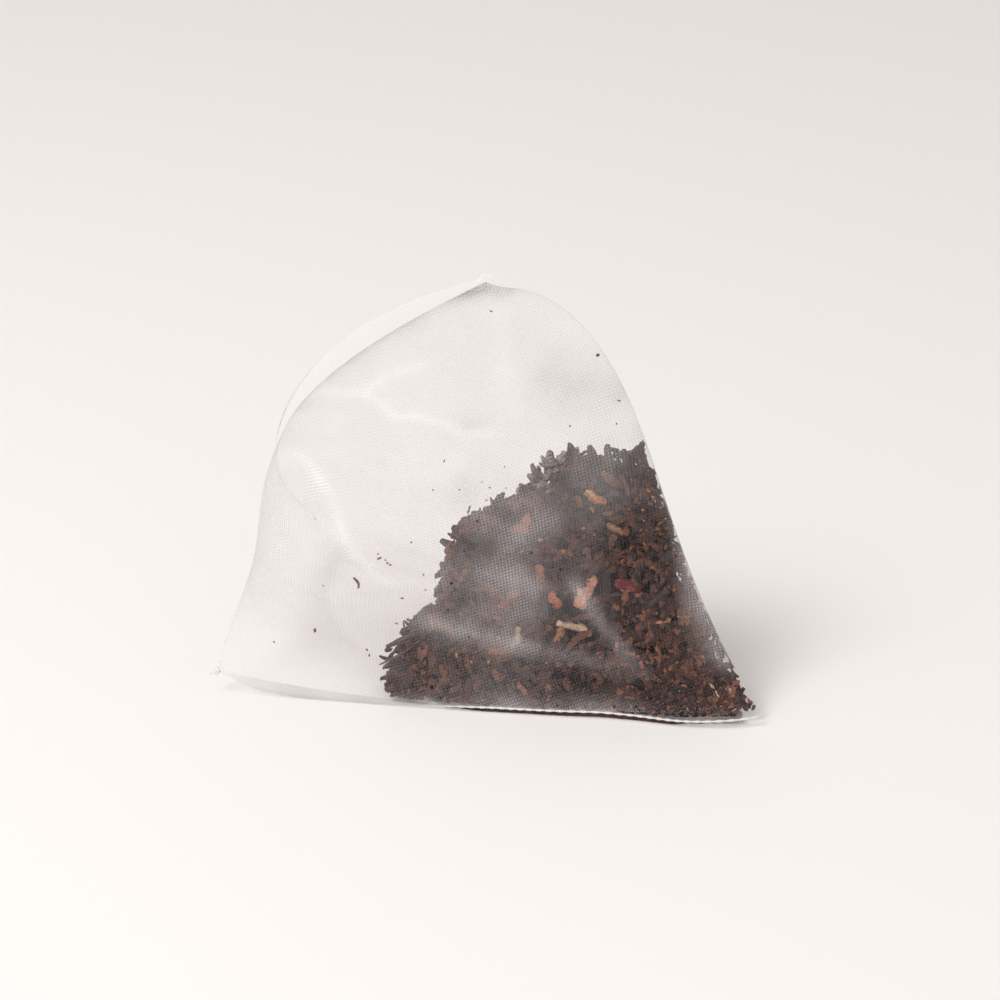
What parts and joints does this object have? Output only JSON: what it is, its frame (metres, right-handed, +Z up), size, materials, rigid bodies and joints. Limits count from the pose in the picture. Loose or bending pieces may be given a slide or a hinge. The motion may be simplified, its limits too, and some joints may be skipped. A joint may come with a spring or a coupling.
{
  "type": "tea bag",
  "caption": "Pyramid tea bag of sheer woven mesh, fused flat at both ends at right angles, with loose dark leaf tea, petals and stalks in one corner.",
  "frame": {"origin": "on the table, under the middle of the bag's box", "axes": "+Z up; +X along the first fused end, towards the corner that holds the tea; +Y from the first fused end to the back"},
  "size_m": [0.057, 0.041, 0.0438],
  "materials": {
    "mesh": "sheer white woven filament mesh",
    "tea": "dry dark brown rolled leaf",
    "petal": "dry orange petal",
    "red_petal": "dry dark red petal",
    "stalk": "dry pale stalk"
  },
  "bodies": {
    "root": {"mesh_bag": "mesh", "tea_leaves": "tea", "petal_gold": "petal", "petal_orange_upper": "petal", "petal_orange_middle": "petal", "petal_orange_lower": "petal", "petal_peach": "petal", "petal_red": "red_petal", "petal_amber": "petal", "petal_white": "petal", "stalk_cream": "stalk", "stalk_pale": "stalk", "stalk_upper": "stalk", "curled_leaf": "stalk", "leaf_rod_peak": "tea", "leaf_rod_shoulder": "tea", "leaf_rod_foot": "tea", "leaf_rod_flank": "tea", "leaf_rod_crown_left": "tea", "leaf_rod_crown_middle": "tea", "leaf_rod_crown_right": "tea"}
  },
  "joints": []
}
